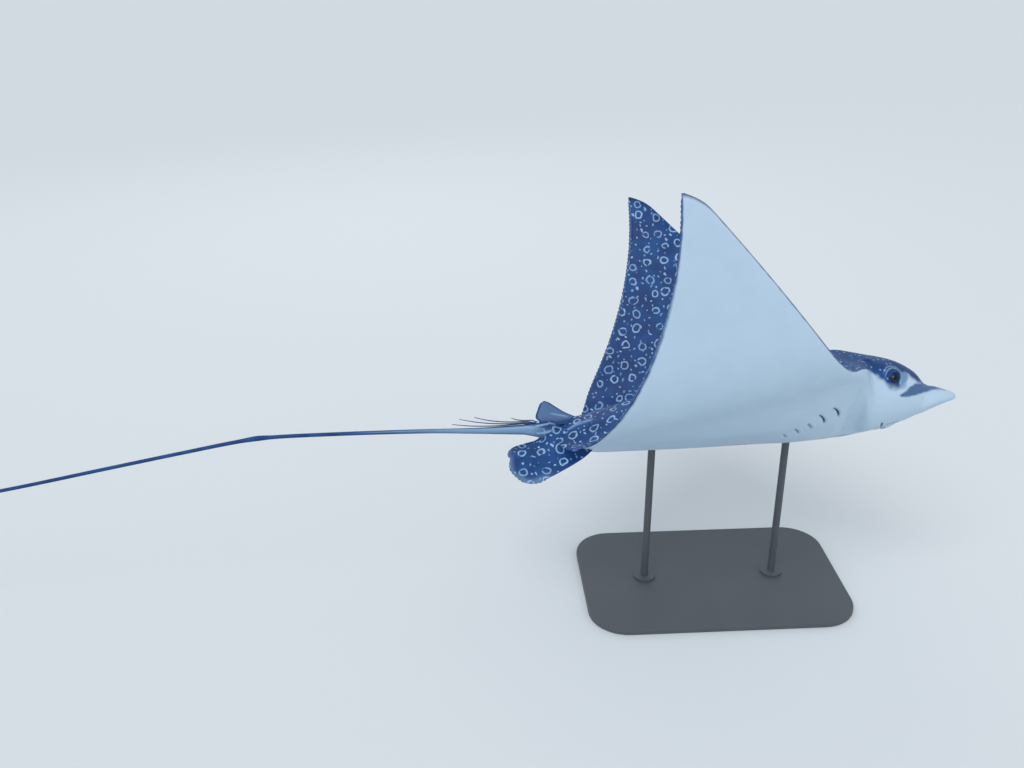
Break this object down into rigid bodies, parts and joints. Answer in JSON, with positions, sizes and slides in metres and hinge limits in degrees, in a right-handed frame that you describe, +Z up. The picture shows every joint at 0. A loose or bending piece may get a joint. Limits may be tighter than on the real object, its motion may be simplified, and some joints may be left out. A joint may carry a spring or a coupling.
{
  "type": "spotted eagle ray",
  "caption": "Life-size spotted eagle ray with its fins raised in a banking upstroke, a long whip tail with spines, held over a flat display base by rods.",
  "frame": {"origin": "middle of the underside of the stand's base, on the floor", "axes": "+X toward the snout, +Y to the animal's left, +Z up"},
  "size_m": [4.3859, 0.7855, 1.0851],
  "materials": {
    "skin_back": "satin, dark slate above with pale rings and dots, white below",
    "lobe_skin": "satin, pale grey with a dark patch above",
    "tail_skin": "satin, nearly black",
    "spine": "satin, horn grey-brown",
    "eye": "glossy, wet",
    "stand_steel": "satin black powder coat"
  },
  "bodies": {
    "root": {"head": "skin_back", "trunk": "skin_back", "rostral_lobe": "lobe_skin", "left_eye": "eye", "right_eye": "eye", "left_pectoral_fin": "skin_back", "right_pectoral_fin": "skin_back", "left_pelvic_fin": "skin_back", "right_pelvic_fin": "skin_back", "dorsal_fin": "skin_back", "tail_1": "tail_skin", "tail_2": "tail_skin", "tail_3": "tail_skin", "tail_4": "tail_skin", "tail_5": "tail_skin", "tail_6": "tail_skin", "sting_1": "spine", "sting_2": "spine", "sting_3": "spine", "sting_4": "spine", "stand_base": "stand_steel", "stand_rod_front": "stand_steel", "stand_rod_rear": "stand_steel"}
  },
  "joints": []
}
